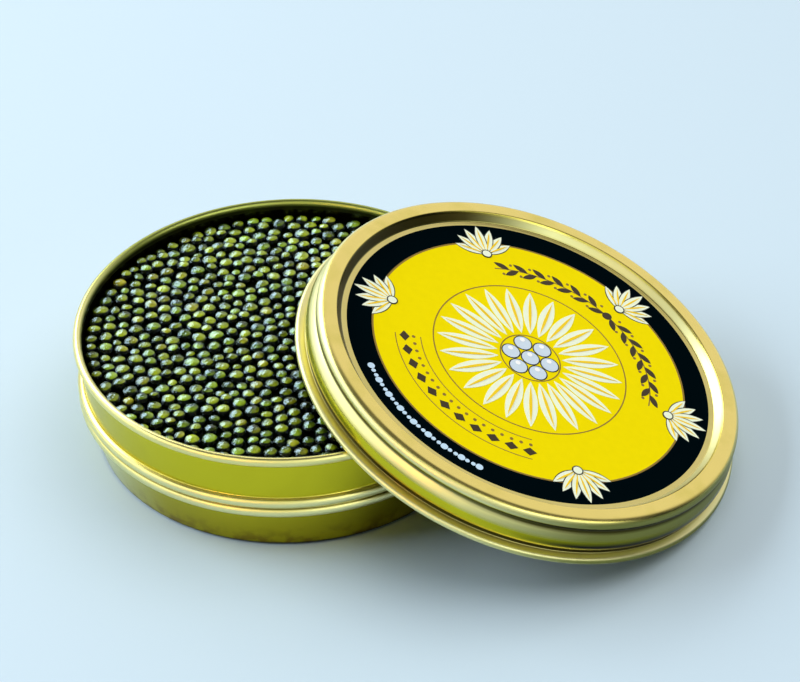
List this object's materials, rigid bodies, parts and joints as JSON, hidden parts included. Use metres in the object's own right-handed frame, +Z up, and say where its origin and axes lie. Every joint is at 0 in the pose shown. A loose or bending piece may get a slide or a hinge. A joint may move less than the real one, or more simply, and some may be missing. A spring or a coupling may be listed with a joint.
{
  "type": "open tin of sturgeon caviar with its lid",
  "caption": "Round gold tin filled with olive-green sturgeon caviar, its printed gold lid leaning on the rim.",
  "frame": {"origin": "centre of the tin's flat bottom, on the surface that it stands on", "axes": "+Z up out of the tin's mouth; +X from the tin's centre towards the low edge of the leaning lid; +Y to the left of +X"},
  "size_m": [0.1282, 0.0884, 0.037],
  "materials": {
    "gold_lacquer": "satin gold lacquer on thin tinplate",
    "lid_lacquer": "satin gold lacquer on thin tinplate, with a glossy black and yellow print on the sunken panel",
    "caviar_eggs": "glossy translucent olive-green eggs with pale highlights"
  },
  "bodies": {
    "root": {"tin": "gold_lacquer", "caviar": "caviar_eggs", "lid": "lid_lacquer"}
  },
  "joints": []
}
